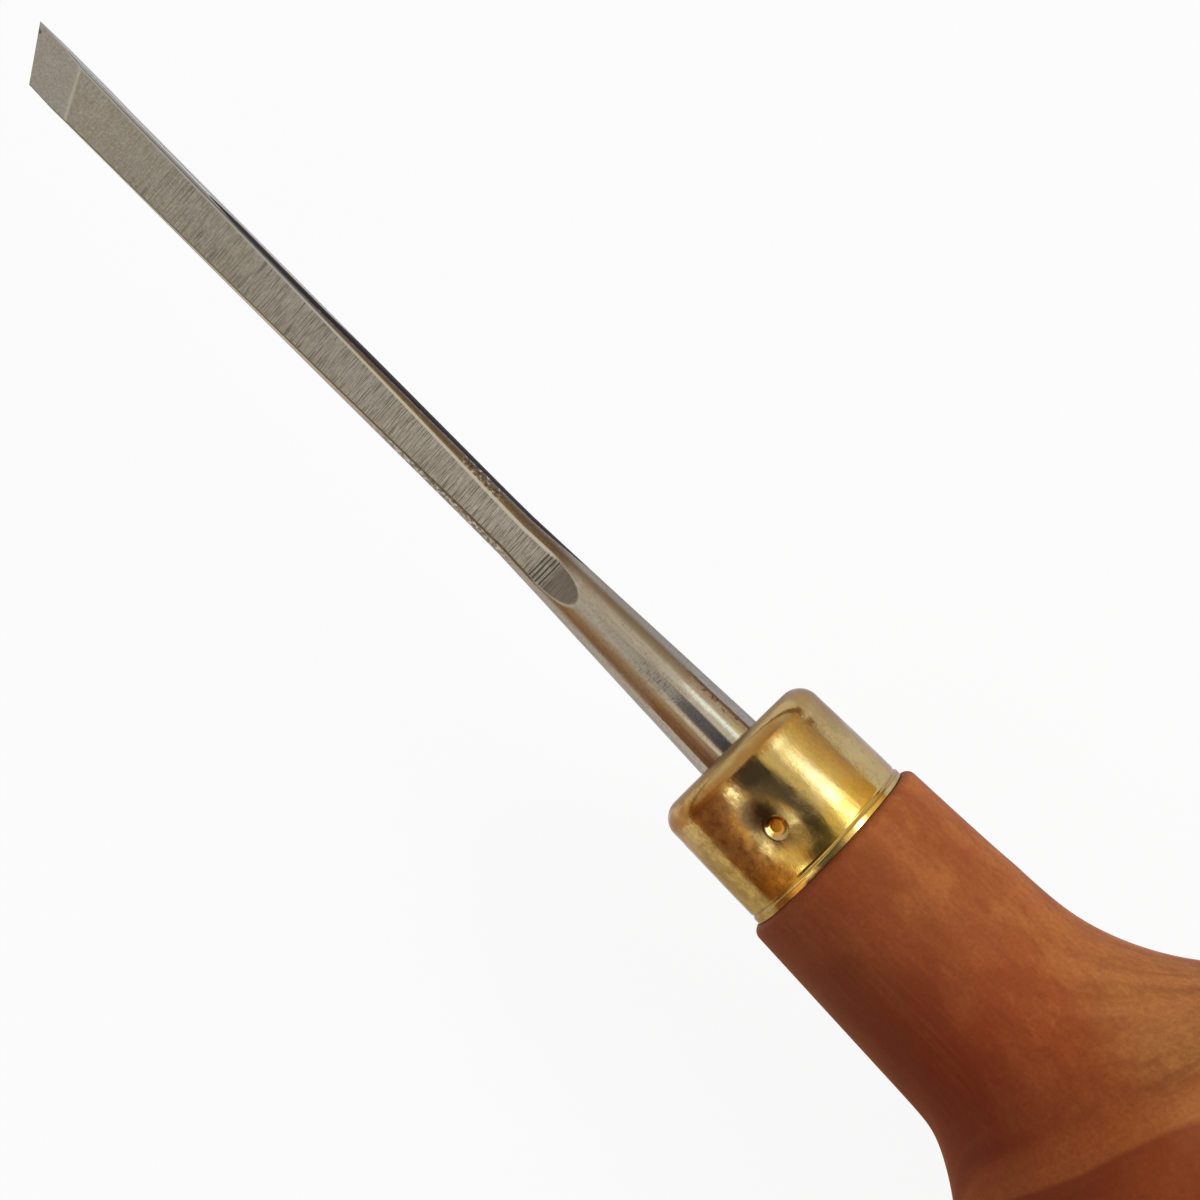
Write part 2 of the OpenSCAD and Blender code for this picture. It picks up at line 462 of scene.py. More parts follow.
def shifted_circle(turn, radius, shift):
    """Reach in each direction to a circle whose middle is shifted along Y."""
    return shift * np.cos(turn) + np.sqrt(np.maximum(radius ** 2 - (shift * np.sin(turn)) ** 2, 1e-6))


def tang_socket(turn):
    """Square socket for the tang, from its bottom up to the spigot's end."""
    square = 1 / np.maximum(np.abs(np.cos(turn)), np.abs(np.sin(turn)))
    for x in np.linspace(X_TANG_END - FIT_GAP, X_SPIGOT, 12):
        yield x, np.minimum((tang_half(x) + FIT_GAP) * square, SHANK_R + FIT_GAP), 0.0


def spigot(turn):
    """Spigot under the ferrule, hollowed where the punch pressed it, and the flat of the shoulder."""
    for r in np.linspace(3.4, SPIGOT_R - SPIGOT_CHAMFER, 4):
        yield X_SPIGOT, r, 0.0
    for x in steps(X_SPIGOT - SPIGOT_CHAMFER, (1.2, 0.4), (-3.2, 0.12), (-5.2, 0.3)):
        yield x, SPIGOT_R - stake_depth(x, turn) - SEAT_GAP, 0.0
    for r in (7.0, 7.4, SHOULDER_R - SHOULDER_ROUND - 0.02):
        yield X_FERRULE_BACK - SEAT_GAP, r, 0.0


def grip(turn):
    """Rounding of the shoulder, neck, flare, knob and domed butt."""
    places = []
    for a in np.linspace(0, QUARTER, 9)[1:]:
        places.append((SEAT_GAP + SHOULDER_ROUND * (1 - math.cos(a)), SHOULDER_ROUND * (1 - math.sin(a))))
    start = SEAT_GAP + SHOULDER_ROUND
    for t in steps(start, (10, 0.4), (41, 0.22), (46.5, 0.2), (47.8, 0.1), (47.99, 0.04))[1:]:
        places.append((t, 0.0))
    for t, inset in places:
        shift = KNOB_SHIFT * ease(t, 0, 30)
        neck = shifted_circle(turn, SHOULDER_R - inset + max(t - 0.6, 0) * NECK_SLOPE, -shift)
        neck = np.maximum(neck * (1 - ease(t, 23, 30)), 1e-3)
        knob = shifted_circle(turn, knob_radius(t), KNOB_SHIFT - shift)
        yield X_FERRULE_BACK - t, most(40, neck, knob), shift
    yield X_FERRULE_BACK - HANDLE_LEN, 0.0, KNOB_SHIFT


def handle_piece():
    turn = np.linspace(0, 2 * math.pi, 220, endpoint=False)
    rings = []
    for x, radius, shift in [*tang_socket(turn), *spigot(turn), *grip(turn)]:
        ring = [np.full_like(turn, x), shift + radius * np.cos(turn), radius * np.sin(turn)]
        rings.append(np.stack(ring, -1))
    return skin("palm_handle", seated(np.array(rings)))


# Finishes


class Sum:
    """A node's output, on which shader sums are written as plain expressions."""

    def __init__(self, finish, socket):
        self.finish = finish
        self.socket = socket

    def sum(self, operation, first, second=0.0):
        return self.finish.node("ShaderNodeMath", {"operation": operation}, {0: first, 1: second})

    def __add__(self, other):
        return self.sum("ADD", self, other)

    def __sub__(self, other):
        return self.sum("SUBTRACT", self, other)

    def __rsub__(self, other):
        return self.sum("SUBTRACT", other, self)

    def __mul__(self, other):
        return self.sum("MULTIPLY", self, other)

    def __truediv__(self, other):
        return self.sum("DIVIDE", self, other)

    def __pow__(self, other):
        return self.sum("POWER", self, other)

    def __abs__(self):
        return self.sum("ABSOLUTE", self)

    __radd__ = __add__
    __rmul__ = __mul__


class Finish:
    """A node tree that is being written: one method adds any node."""

    def __init__(self, tree):
        self.tree = tree
        tree.nodes.clear()

    def node(self, kind, settings=None, sockets=None, out=0):
        made = self.tree.nodes.new(kind)
        settings = dict(settings or {})
        stops = settings.pop("stops", None)
        for name, value in settings.items():
            setattr(made, name, value)
        if stops:
            ramp = made.color_ramp.elements
            while len(ramp) < len(stops):
                ramp.new(0.5)
            for element, (place, colour) in zip(ramp, stops):
                element.position = place
                element.color = (*colour, 1)
        for name, value in (sockets or {}).items():
            if isinstance(value, Sum):
                self.tree.links.new(value.socket, made.inputs[name])
            else:
                made.inputs[name].default_value = value
        return Sum(self, made.outputs[out]) if len(made.outputs) else made

    def place(self):
        """Place on the object, in millimetres."""
        where = self.node("ShaderNodeTexCoord", out="Object")
        return self.node("ShaderNodeVectorMath", {"operation": "SCALE"}, {0: where, "Scale": 1 / MM})

    def part(self, vector, axis):
        return self.node("ShaderNodeSeparateXYZ", {}, {0: vector}, axis)

    def vector(self, x, y, z=0.0):
        return self.node("ShaderNodeCombineXYZ", {}, {"X": x, "Y": y, "Z": z})

    def stretched(self, vector, scale):
        return self.node("ShaderNodeMapping", {}, {"Vector": vector, "Scale": scale})

    def noise(self, vector, scale=1.0, detail=3.0, roughness=0.55):
        return self.node(
            "ShaderNodeTexNoise",
            {},
            {"Vector": vector, "Scale": scale, "Detail": detail, "Roughness": roughness},
        )

    def ramp(self, value, low, high, to_low=0.0, to_high=1.0):
        """Smooth change from to_low to to_high while the value goes from low to high."""
        return self.node(
            "ShaderNodeMapRange",
            {"interpolation_type": "SMOOTHSTEP"},
            {"Value": value, "From Min": low, "From Max": high, "To Min": to_low, "To Max": to_high},
        )

    def tint(self, share, first, second, how="MIX"):
        """Colour that goes from the first to the second by the share."""
        first = first if isinstance(first, Sum) else (*first, 1)
        second = second if isinstance(second, Sum) else (*second, 1)
        return self.node(
            "ShaderNodeMix",
            {"data_type": "RGBA", "blend_type": how},
            {0: share, 6: first, 7: second},
            2,
        )

    def coats(self, colour, *coats):
        """Colour under coats that are given as a share, a colour and, if they don't cover, how they mix."""
        for share, coat, *how in coats:
            colour = self.tint(share, colour, coat, *how)
        return colour

    def stops(self, value, stops):
        """Colour that runs through stops of a value and a colour."""
        return self.node("ShaderNodeValToRGB", {"stops": stops}, {0: value}, "Color")

    def towards(self, way, axis):
        """How far one direction points along another."""
        return self.node("ShaderNodeVectorMath", {"operation": "DOT_PRODUCT"}, {0: way, 1: axis}, "Value")

    def mark(self, name):
        """Number that the mesh carries under this name."""
        return self.node("ShaderNodeAttribute", {"attribute_name": name}, {}, "Fac")

    def relief(self, height, depth):
        """Normal of a surface with this height, where 1 stands for the depth in millimetres."""
        return self.node("ShaderNodeBump", {}, {"Height": height, "Distance": depth * MM})

    def surface(self, **sockets):
        """Ends the finish with a shader whose sockets are given, with _ for a space."""
        named = {name.replace("_", " "): value for name, value in sockets.items()}
        shader = self.node("ShaderNodeBsdfPrincipled", {}, named)
        self.node("ShaderNodeOutputMaterial", {}, {"Surface": shader})


def material(name):
    made = bpy.data.materials.new(name)
    made.use_nodes = True
    return made, Finish(made.node_tree)


def steel_base(f):
    """Places on the steel, its grain, and where it is ground."""
    p = f.place()
    return SimpleNamespace(
        p=p,
        x=f.part(p, "X"),
        y=f.part(p, "Y"),
        z=f.part(p, "Z"),
        patchy=f.noise(p, scale=0.45, detail=3),
        grain=f.noise(p, scale=5.0, detail=4, roughness=0.65),
        mottle=f.noise(p, scale=1.2, detail=5, roughness=0.7),
        draw=f.noise(f.stretched(p, (0.09, 3.0, 3.0)), scale=1.6, detail=3),
        ground=f.mark("ground"),
        arris=f.mark("arris"),
    )


def add_wheel_marks(f, s):
    """Marks of the grinding wheel: cross lines broken along their length, chatter, run-out and crease, with
    a painted highlight along the crease and painted shade with dirt in the chatter grooves.
    """
    from_crease = s.x + s.y * BEVEL_SKEW - X_BEVEL
    s.bevel = f.ramp(from_crease, -0.1, 0.1)
    # The crease carries a painted highlight along the bevel's back line.
    s.crease = f.ramp(abs(from_crease), 0.0, 0.26, 1.0, 0.0) * s.ground
    lean = f.noise(f.stretched(s.p, (0.15, 0.35, 0.1)), detail=2)
    across = s.x + s.y * 0.05 + lean * 0.1
    lines = f.noise(f.vector(across * 9.8, s.y * 0.2), detail=1.5, roughness=0.5)
    hair = f.noise(f.vector(across * 19, s.y * 0.9), detail=1.5)
    scratch = f.ramp(lines, 0.47, 0.40) * 0.85 + f.ramp(hair, 0.5, 0.40) * 0.45
    s.scratch = scratch * f.ramp(s.x, 62, 74, 1.0, 0.3) * (1 - 0.7 * s.bevel) * s.ground
    s.gleam = f.ramp(hair, 0.55, 0.66) * f.ramp(s.x, 70, 45, 0.3, 1.0) * s.ground
    # groove: the chatter grooves, painted dark with dirt and painted shade.
    s.groove = f.ramp(f.mark("groove"), 0.2, 0.8) * s.ground
    s.runout = f.ramp(s.x, 24.9, 24.1) * s.ground


def add_rod_marks(f, s):
    """Marks of the round rod: drawn lines, polished end, film, specks, a painted dark reflection on the
    long-point flank, rust, pits, ticks and painted glints.
    """
    below_face = BEVEL_HALF_T + X_BEVEL * FACE_SLOPE - s.x * FACE_SLOPE - s.z
    upper_line = f.ramp(abs(below_face - 0.3), 0.05, 0.14, 1.0, 0.0)
    lower_line = f.ramp(abs(below_face - 0.85), 0.05, 0.14, 0.8, 0.0)
    s.drawn = (upper_line + lower_line) * f.ramp(s.x, 52, 62) * f.ramp(s.draw, 0.3, 0.5)
    s.satin = f.ramp(s.x + (s.grain - 0.5) * 1.6 + (s.mottle - 0.5) * 1.2, 11.1, 12.8)
    s.film = f.ramp(abs(s.y + 1.95), 0.55, 0.15) * s.satin * f.ramp(s.x, 30, 24)
    high_side = f.ramp(abs(s.y + 2.2), 0.3, 0.05) * f.ramp(s.x, 13, 11)
    s.specks = f.ramp(f.noise(s.p, scale=2.2, detail=4, roughness=0.7) + high_side * 0.1, 0.64, 0.72)
    # scale: the band painted dark on the long-point flank, a painted reflection of the shaded table under
    # the blade.
    s.scale = f.ramp(f.mark("scale") + (s.grain - 0.5) * 0.5, 0.38, 0.62)
    s.rust = f.mark("rust") * f.ramp(s.grain * 0.6 + s.draw * 0.4, 0.25, 0.5)
    pitting = f.noise(s.p, scale=3.4, detail=3, roughness=0.6)
    s.pits = f.ramp(pitting, 0.48, 0.6) * f.mark("pitted")
    # Light specks among the pits are painted glints.
    s.sparks = f.ramp(pitting, 0.46, 0.36) * f.mark("pitted")
    ticks = f.noise(f.vector(s.x * 9.0, s.y * 1.4), detail=2)
    ticks = f.ramp(ticks, 0.52, 0.62) * f.ramp(s.x, 12.0, 12.6) * f.ramp(s.x, 16.0, 14.5)
    s.ticks = ticks * f.ramp(abs(s.y + 0.35), 0.3, 0.8, 1.0, 0.25)


def face_colour(f, s):
    """Colour of the ground faces."""
    speckled = f.ramp(s.x, 45, 66, 0.32, 0.55)
    return f.coats(
        f.tint(f.ramp(s.x, 26, 54), (0.465, 0.465, 0.48), (0.35, 0.36, 0.372)),
        (f.ramp(s.patchy, 0.4, 0.6) * f.ramp(s.x, 50, 70, 0.15, 0.4), (0.31, 0.292, 0.275)),
        (f.ramp(s.mottle, 0.4, 0.6) * f.ramp(s.x, 50, 70, 0.2, 0.5), (0.295, 0.295, 0.278)),
        (s.bevel * 0.6, (0.36, 0.37, 0.38)),
        (s.scratch, (0.15, 0.145, 0.14)),
        (s.gleam * 0.42, (0.64, 0.63, 0.63)),
        (f.ramp(s.grain, 0.46, 0.66) * speckled, (0.265, 0.26, 0.25)),
        (f.ramp(s.grain, 0.52, 0.36) * (speckled - 0.15), (0.47, 0.47, 0.465)),
        (s.runout * 0.75, (0.14, 0.125, 0.113)),
        # Dirt and painted shade in the chatter grooves.
        (s.groove * 0.9, (0.075, 0.068, 0.058)),
    )


def rod_colour(f, s):
    """Colour of the round rod, which the shank and the flanks still show."""
    return f.coats(
        f.tint(f.ramp(s.draw, 0.3, 0.7), (0.38, 0.372, 0.358), (0.46, 0.452, 0.445)),
        (f.ramp(s.x, 35, 65), (0.72, 0.72, 0.72)),
        (s.drawn * 0.75, (0.13, 0.13, 0.13)),
        (f.ramp(s.grain, 0.5, 0.68) * 0.45, (0.22, 0.205, 0.18)),
        (f.ramp(s.mottle, 0.46, 0.34) * 0.45, (0.56, 0.55, 0.54)),
        (s.film * 0.8, (0.36, 0.325, 0.265)),
        (s.specks * 0.75, (0.12, 0.085, 0.06)),
        (s.ticks * 0.65, (0.12, 0.11, 0.10)),
        (s.rust * (1 - abs(s.arris)) * 0.9, (0.21, 0.165, 0.115)),
        (s.pits * 0.7, (0.10, 0.09, 0.075)),
        # Painted glints among the pits.
        (s.sparks * 0.75, (0.78, 0.80, 0.82)),
        # Painted dark reflection of the shaded table on the long-point flank.
        (s.scale * 0.95, (0.030, 0.025, 0.036)),
    )


def steel():
    """Tool steel: cross-ground faces, a rusted flank with a painted dark reflection on it, satin shank
    polished at the ferrule, and painted light and shade at arrises, crease and grooves.
    """
    made, f = material("ground_steel")
    s = steel_base(f)
    add_wheel_marks(f, s)
    add_rod_marks(f, s)
    # worn: colour of the long-point arris, worn steel with a painted highlight, bluer towards the tip.
    worn = f.tint(f.ramp(s.x, 40, 62), (0.64, 0.64, 0.64), (0.40, 0.44, 0.48))
    colour = f.coats(
        rod_colour(f, s),
        (s.ground, face_colour(f, s)),
        # The short-point arris is painted dark, and the long-point arris gets its painted highlight.
        (f.ramp(s.arris, -0.2, -0.8) * 0.75, (0.12, 0.115, 0.095)),
        (f.ramp(s.arris, 0.0, 1.0) * 0.85, worn),
        (f.mark("shaded") * 0.85, (0.17, 0.205, 0.26)),
        # Painted highlight along the bevel's crease.
        (s.crease * 0.65, (0.56, 0.572, 0.585)),
    )
    round_side = 1 - s.ground
    rod_rough = 0.055 + s.satin * 0.245 + f.ramp(s.x, 24, 30) * 0.06 + s.scale * 0.15
    face_rough = 0.33 + (s.patchy - 0.5) * 0.1 + s.runout * 0.12
    sunk = s.specks * s.satin * 0.25 + s.pits + s.ticks * 0.3 - s.grain * 0.35
    height = s.grain * 0.12 * s.ground - s.scratch * 0.6 - sunk * round_side
    f.surface(
        Base_Color=colour,
        Metallic=1.0,
        Roughness=rod_rough * round_side + face_rough * s.ground + s.draw * 0.02,
        Specular_Tint=(0.64, 0.63, 0.63, 1),
        Normal=f.relief(height * (1 - abs(s.arris)), 0.010),
    )
    return made


def brass():
    """Drawn brass, polished long ago: tarnished and golden at its lip, with painted light and shade: a
    bright stripe and a whiter lip there, brown shade at its front corner, dark shade ahead of its pit and an
    orange reflection in the pit.
    """
    made, f = material("worn_brass")
    p = f.place()
    x = f.part(p, "X")
    y = f.part(p, "Y")
    cloud = f.noise(p, scale=0.4, detail=5, roughness=0.65)
    fine = f.noise(p, scale=3.2, detail=5, roughness=0.65)
    smut = f.noise(p, scale=1.0, detail=4, roughness=0.6)
    rub = f.noise(f.stretched(p, (0.6, 2.0, 2.0)), scale=0.9, detail=4)
    smutty = f.ramp(y, 0.8, 2.4, 0.1, 1.0) * f.ramp(y, 6.4, 5.4, 0.5, 1.0)
    stain = f.ramp(cloud * 0.65 + fine * 0.35, 0.44, 0.64)
    # shoulder: brown painted shade on the front corner, in place of its darker reflection.
    shoulder = f.ramp(x + (fine - 0.5) * 2.0, 3.7, 4.3) * f.ramp(x + (cloud - 0.5) * 2.0, 5.5, 4.8)
    shoulder = shoulder * f.ramp(y, -5.6, -4.6, 0.25, 1.0)
    haze = f.ramp(f.noise(p, scale=0.7, detail=2), 0.4, 0.64) * f.ramp(x, 3.2, 2.2)
    haze = haze * 0.6 + f.mark("bloom")
    aside = abs(y + 0.9)
    # golden: the lip end, golden in tone, which also carries a painted bright stripe and a painted darker
    # band below it.
    golden = f.ramp(x + (cloud - 0.5) * 1.5, -1.2, -3.2) * f.ramp(aside, 6.1, 5.4)
    painted_bright_stripe = golden * f.ramp(y, 1.2, 2.2) * f.ramp(y, 3.8, 2.9)
    # lip: the rolled lip, painted whiter as a painted highlight.
    lip = f.ramp(x, -4.62, -4.75) * f.ramp(aside, 6.1, 5.0)
    dirt = f.ramp(x + fine * 0.3, 5.5, 5.85)
    joint = f.ramp(abs(x + 4.58), 0.03, 0.1, 1.0, 0.0)
    pit = f.mark("pit")
    # Painted shade of the dent ahead of the pit, broken up by noise.
    grime = f.ramp(f.mark("grime") + (fine - 0.5) * 0.5, 0.0, 0.85) * (1 - pit)
    colour = f.coats(
        f.tint(stain * 0.55, (0.53, 0.40, 0.18), (0.37, 0.275, 0.125)),
        (f.ramp(rub, 0.5, 0.64) * 0.35, (0.43, 0.355, 0.24)),
        (f.ramp(smut, 0.48, 0.66) * smutty * 0.65, (0.26, 0.14, 0.052)),
        (f.ramp(smut, 0.5, 0.34) * smutty * 0.7, (0.72, 0.54, 0.22)),
        # Golden tone at the lip end, then painted light: a bright stripe, a darker band and a whiter lip.
        (golden, (1.16, 1.06, 0.62), "MULTIPLY"),
        (painted_bright_stripe, (1.25, 1.25, 1.15), "MULTIPLY"),
        (golden * f.ramp(y, 3.0, 4.2), (0.56, 0.5, 0.62), "MULTIPLY"),
        (lip, (1.22, 1.32, 1.9), "MULTIPLY"),
        # Painted shade on the front corner.
        (shoulder * 0.75, (0.36, 0.175, 0.045)),
        (joint * 0.5, (0.22, 0.13, 0.05)),
        (f.mark("film") * (1 - pit), (0.60, 0.58, 0.52), "MULTIPLY"),
        # Painted shade of the dent.
        (grime * 0.9, (0.25, 0.15, 0.085)),
        # The pit is painted orange, a painted reflection of the wooden handle in its floor.
        (pit * 0.9, (0.82, 0.36, 0.036)),
        (dirt * 0.8, (0.30, 0.19, 0.08)),
    )
    tarnish = stain * 0.1 + haze * 0.14 + rub * 0.06 + shoulder * 0.08
    f.surface(
        Base_Color=colour,
        Metallic=1 - dirt * 0.3,
        Roughness=0.07 + tarnish + pit * 0.15 + dirt * 0.25,
        Specular_Tint=(0.66, 0.60, 0.66, 1),
        Normal=f.relief(fine * 0.3 + rub * 0.7, 0.019),
    )
    return made


# Colours through the blank that the handle is turned from, set out along a depth that runs towards the key
# lamp: partly the wood's own layers, partly painted shade, darkest between the lit side and the far rim
WOOD_LAYERS_AND_SHADE = [
    (0.12, (0.36, 0.108, 0.033)),
    (0.24, (0.33, 0.086, 0.027)),
    (0.35, (0.26, 0.052, 0.017)),
    (0.47, (0.26, 0.052, 0.017)),
    (0.58, (0.36, 0.085, 0.025)),
    (0.70, (0.42, 0.129, 0.033)),
    (0.90, (0.46, 0.180, 0.047)),
]


def wood():
    """Stained, oiled hardwood: growth layers across the blank, fibres along the tool, and painted shade on
    the side away from the key lamp.
    """
    made, f = material("stained_wood")
    p = f.place()
    y = f.part(p, "Y")
    z = f.part(p, "Z")
    t = X_FERRULE_BACK - f.part(p, "X")
    blotch = f.noise(f.stretched(p, (0.7, 1.0, 1.0)), scale=0.16, detail=5, roughness=0.6)
    fleck = f.noise(f.stretched(p, (0.4, 1.0, 1.0)), scale=0.9, detail=5, roughness=0.65)
    fibre = f.noise(f.stretched(p, (0.05, 1.0, 1.0)), scale=1.7, detail=4, roughness=0.6)
    grit = f.noise(p, scale=2.6, detail=4, roughness=0.65)
    pores = f.ramp(f.noise(f.stretched(p, (0.3, 1.0, 1.0)), scale=4.0, detail=2), 0.62, 0.74)

    # Layers that lie aslant in the blank, and growth rings that curve over it. The layers' depth runs
    # towards the key lamp, so the layers and the shade masks below also paint shade on the side away from it
    wander = f.noise(f.stretched(p, (0.35, 0.8, 0.8)), scale=0.08, detail=3) - 0.5
    depth = z * 0.5 - y * 0.8 + wander * 5
    red_shade = f.ramp(depth, 4.5, -1.0) * f.ramp(depth, -9.0, -4.0) * f.ramp(t, 5, 17)
    deep_shade = f.ramp(depth, 8.5, 3.0) * f.ramp(depth, -6.0, -2.0) * f.ramp(t, 7.5, 11) * f.ramp(t, 27, 16)
    deep_shade = deep_shade * f.ramp(blotch, 0.3, 0.55, 0.6, 1.0)
    faded = f.ramp(depth, 4.5, 1.5) * f.ramp(depth, -5.0, -1.5) * f.ramp(t, 6.5, 3.5)
    growth = z + abs(y + 4.6) ** 2 * 0.035 + wander * 1.2
    rings = f.noise(f.vector(t * 0.012, y * 0.05, growth * 0.55), detail=2, roughness=0.5)
    # A paler band on the flare, and darker wood beyond a curved line over the knob's upper side.
    pale_band = f.ramp(growth, 13.3, 14.5) * f.ramp(growth, 16.3, 15.9)
    knob_dark_zone = f.ramp(growth, 15.95, 16.35)
    on_flare = f.ramp(t, 13, 24)
    streaky = on_flare * f.ramp(y, -4.0, -9.0, 0.25, 0.55)
    colour = f.coats(
        f.stops((depth + 12) / 28, WOOD_LAYERS_AND_SHADE),
        # Painted shade: darker, redder wood on the side away from the key lamp.
        (red_shade * 0.75, (0.235, 0.035, 0.012)),
        (deep_shade * 0.85, (0.245, 0.039, 0.0125)),
        (faded * 0.55, (0.38, 0.085, 0.03)),
        (f.ramp(blotch, 0.42, 0.58) * 0.5, (0.28, 0.055, 0.017)),
        (f.ramp(blotch, 0.48, 0.34) * 0.16, (0.45, 0.150, 0.040)),
        (f.ramp(fleck, 0.4, 0.62) * 0.35, (0.24, 0.056, 0.018)),
        (f.ramp(fibre, 0.45, 0.75) * 0.15, (0.47, 0.155, 0.046)),
        (f.ramp(rings, 0.5, 0.6) * streaky, (0.50, 0.175, 0.052)),
        (f.ramp(rings, 0.46, 0.40) * streaky * 0.7, (0.24, 0.055, 0.018)),
        (pale_band * on_flare * 0.42, (0.50, 0.152, 0.038)),
        (knob_dark_zone * 0.75, (0.245, 0.045, 0.013)),
        (f.ramp(grit, 0.46, 0.66) * 0.22, (0.22, 0.055, 0.02)),
        (f.ramp(grit, 0.5, 0.34), (1.09, 1.1, 1.12), "MULTIPLY"),
        (pores * 0.2, (0.11, 0.026, 0.011)),
        # Painted shade on the flare: darker and redder everywhere but its edge towards the key lamp.
        (f.ramp(t, 8, 20) * f.ramp(y, -9, -4), (0.98, 0.80, 0.70), "MULTIPLY"),
    )
    f.surface(
        Base_Color=colour,
        Roughness=0.5 + fibre * 0.14,
        Specular_IOR_Level=0.07,
        Normal=f.relief(fibre - pores * 0.3, 0.006),
    )
    return made


# Studio

ROLL = math.radians(10.7)
BACK = Vector((0, -math.sin(ROLL), math.cos(ROLL)))
ALONG = Vector((-1, 0, 0))
OVER = Vector((0, -math.cos(ROLL), -math.sin(ROLL)))
CAMERA_DISTANCE = 297.0
CAMERA_AIM = Vector((20.6, 0, 0)) + OVER * 1.03
FRAME_WIDTH = 91.44
SENSOR_WIDTH = 36.0

# Stage sizes
FLOOR_HALF = 6000.0
FLOOR_GAP = 0.02
TENT_R = 1500.0
SCREEN_R = 60.0
SCREEN_ENDS = (14.8, -60.0)
CARD_FOOT = -17.8

# Shares of the table's white that glows, and of the white sky that lights matt surfaces
FLOOR_GLOW = 0.92
SKY_LIGHT = 0.27

# Colours of the room on the window's side and on the other, from the table's level up to overhead
LIGHT_WALL = [
    (0.0, (0.34, 0.193, 0.092)),
    (0.2, (0.385, 0.215, 0.095)),
    (0.45, (0.52, 0.325, 0.15)),
    (0.7, (0.76, 0.57, 0.35)),
    (1.0, (0.86, 0.73, 0.54)),
]
DARK_WALL = [
    (0.0, (0.36, 0.155, 0.052)),
    (0.2, (0.39, 0.175, 0.055)),
    (0.45, (0.53, 0.28, 0.10)),
    (0.72, (0.68, 0.46, 0.25)),
    (0.92, (0.88, 0.80, 0.65)),
    (1.0, (0.92, 0.83, 0.66)),
]
# The same for the screen over the ferrule, and for its part over the shank
LIGHT_SCREEN = [
    (0.0, (0.60, 0.40, 0.23)),
    (0.3, (0.86, 0.61, 0.29)),
    (0.5, (1.05, 0.86, 0.38)),
    (0.85, (0.98, 0.86, 0.54)),
]
SHANK_SCREEN = [
    (0.0, (0.52, 0.36, 0.23)),
    (0.3, (0.74, 0.54, 0.35)),
    (0.5, (0.88, 0.70, 0.48)),
    (0.85, (1.00, 0.86, 0.67)),
]
DARK_SCREEN = [(0.0, (0.35, 0.17, 0.075)), (0.45, (0.40, 0.208, 0.098)), (0.72, (0.72, 0.46, 0.24))]


def facing(right, up, back, at):
    """Matrix of a camera, lamp or plane that looks along -back."""
    turn = Matrix((right, up, back)).transposed().to_4x4()
    return Matrix.Translation(at) @ turn


def camera():
    lens = bpy.data.cameras.new("camera")
    lens.sensor_width = SENSOR_WIDTH
    lens.lens = SENSOR_WIDTH * CAMERA_DISTANCE / FRAME_WIDTH
    lens.clip_start = 0.01
    eye = added("camera", lens)
    right = (ALONG + OVER).normalized()
    up = (OVER - ALONG).normalized()
    eye.matrix_world = facing(right, up, BACK, (CAMERA_AIM + BACK * CAMERA_DISTANCE) * MM)
    bpy.context.scene.camera = eye


def plane(name, corners):
    """Flat mesh between four corners in millimetres."""
    mesh = bpy.data.meshes.new(name)
    mesh.from_pydata([tuple(corner * MM) for corner in corners], [], [(0, 1, 2, 3)])
    return mesh


def seen(f):
    """1 for rays from the camera and for rays that metal or glass sends on."""
    rays = ("Is Camera Ray", "Is Glossy Ray", "Is Transmission Ray")
    first, second, third = (f.node("ShaderNodeLightPath", {}, {}, ray) for ray in rays)
    clamped = {"operation": "ADD", "use_clamp": True}
    return f.node("ShaderNodeMath", clamped, {0: first + second, 1: third})


def floor():
    """Plain white table that the knob lies on, clear when seen from below."""
    ways = ((-1, -1), (1, -1), (1, 1), (-1, 1))
    mesh = plane("floor", [Vector((across, up, 0)) * FLOOR_HALF for across, up in ways])
    table = added("floor", mesh)
    lowest = Vector((0, KNOB_SHIFT, 0)) - BACK * (KNOB_R + FLOOR_GAP)
    table.matrix_world = facing(-ALONG, BACK.cross(-ALONG), BACK, lowest * MM)
    made, f = material("white_table")
    plain = f.node("ShaderNodeBsdfDiffuse", {}, {"Color": (0.9, 0.9, 0.9, 1)})
    bright = f.node("ShaderNodeEmission", {}, {"Color": (1, 1, 1, 1), "Strength": 1.0})
    white = f.node("ShaderNodeMixShader", {}, {0: seen(f) * FLOOR_GLOW, 1: plain, 2: bright})
    under = f.node("ShaderNodeNewGeometry", {}, {}, "Backfacing")
    clear = f.node("ShaderNodeBsdfTransparent")
    sided = f.node("ShaderNodeMixShader", {}, {0: under, 1: white, 2: clear})
    f.node("ShaderNodeOutputMaterial", {}, {"Surface": sided})
    mesh.materials.append(made)


def mirrored(name, mesh, colour_of):
    """Glowing stage piece that only polished metal shows."""
    piece = added(name, mesh)
    piece.visible_camera = False
    piece.visible_diffuse = False
    piece.visible_shadow = False
    made, f = material(name)
    glow = f.node("ShaderNodeEmission", {}, {"Color": colour_of(f), "Strength": 1.0})
    f.node("ShaderNodeOutputMaterial", {}, {"Surface": glow})
    mesh.materials.append(made)


def card(name, colour, start, end, along=(-600, 600)):
    """Strip of card along the tool, between places given as [over the tool, towards the camera]."""
    first, second = (OVER * over + BACK * back for over, back in (start, end))
    near, far = (-ALONG * x for x in along)
    mesh = plane(name, [first + near, first + far, second + far, second + near])
    mirrored(name, mesh, lambda f: (*colour, 1))


